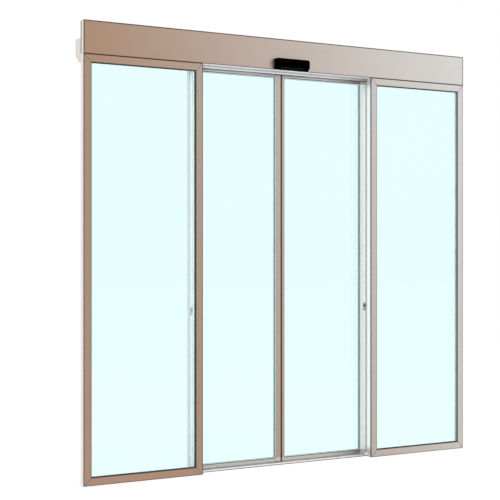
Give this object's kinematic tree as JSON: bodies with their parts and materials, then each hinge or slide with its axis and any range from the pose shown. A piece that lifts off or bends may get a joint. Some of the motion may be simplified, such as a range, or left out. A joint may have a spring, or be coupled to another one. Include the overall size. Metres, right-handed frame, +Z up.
{
  "type": "automatic sliding door set with sidelites",
  "caption": "Automatic bi-parting sliding glass door set with fixed sidelites, metal-faced header, motion sensor, roller track and low threshold.",
  "frame": {"origin": "on the floor, middle of the doorway, in the middle plane of the sliding leaves", "axes": "+X to the right seen from the front, +Y to the back, +Z up"},
  "size_m": [2.44, 0.155, 2.3],
  "materials": {
    "champagne_aluminium": "satin champagne bronze anodised",
    "pale_aluminium": "pale satin anodised",
    "tinted_glass": "clear with a pale cyan tint",
    "glazing_gasket": "matt",
    "rubber_seal": "matt",
    "lock_metal": "satin",
    "hanger_steel": "zinc plated",
    "roller_plastic": "turned",
    "guide_plastic": "matt",
    "sensor_black": "matt"
  },
  "bodies": {
    "frame": {"header_back_plate": "pale_aluminium", "header_cover": "champagne_aluminium", "header_end_cap_left": "pale_aluminium", "header_end_cap_right": "pale_aluminium", "left_floor_guide": "guide_plastic", "left_sidelite_bottom_rail": "champagne_aluminium", "left_sidelite_gasket": "glazing_gasket", "left_sidelite_glass": "tinted_glass", "left_sidelite_inner_stile": "champagne_aluminium", "left_sidelite_outer_stile": "champagne_aluminium", "left_sidelite_top_rail": "champagne_aluminium", "right_floor_guide": "guide_plastic", "right_sidelite_bottom_rail": "champagne_aluminium", "right_sidelite_gasket": "glazing_gasket", "right_sidelite_glass": "tinted_glass", "right_sidelite_inner_stile": "champagne_aluminium", "right_sidelite_outer_stile": "champagne_aluminium", "right_sidelite_top_rail": "champagne_aluminium", "sensor_base": "sensor_black", "sensor_hood": "sensor_black", "threshold": "pale_aluminium", "track_end_cap_left": "pale_aluminium", "track_end_cap_right": "pale_aluminium", "track_housing": "pale_aluminium"},
    "left_leaf": {"left_leaf_bottom_rail": "champagne_aluminium", "left_leaf_gasket": "glazing_gasket", "left_leaf_glass": "tinted_glass", "left_leaf_hangers": "hanger_steel", "left_leaf_lock": "lock_metal", "left_leaf_meeting_seal": "rubber_seal", "left_leaf_meeting_stile": "champagne_aluminium", "left_leaf_outer_stile": "pale_aluminium", "left_leaf_rollers": "roller_plastic", "left_leaf_top_rail": "champagne_aluminium"},
    "right_leaf": {"right_leaf_bottom_rail": "champagne_aluminium", "right_leaf_gasket": "glazing_gasket", "right_leaf_glass": "tinted_glass", "right_leaf_hangers": "hanger_steel", "right_leaf_lock": "lock_metal", "right_leaf_meeting_seal": "rubber_seal", "right_leaf_meeting_stile": "champagne_aluminium", "right_leaf_outer_stile": "pale_aluminium", "right_leaf_rollers": "roller_plastic", "right_leaf_top_rail": "champagne_aluminium"}
  },
  "joints": [
    {"name": "left_leaf_slide", "type": "slide", "parent": "frame", "child": "left_leaf", "axis": [-1, 0, 0], "range_m": [0, 0.54]},
    {"name": "right_leaf_slide", "type": "slide", "parent": "frame", "child": "right_leaf", "axis": [1, 0, 0], "range_m": [0, 0.54]}
  ],
  "couplings": [
    {"joint": "right_leaf_slide", "follows": "left_leaf_slide", "ratio": 1}
  ]
}
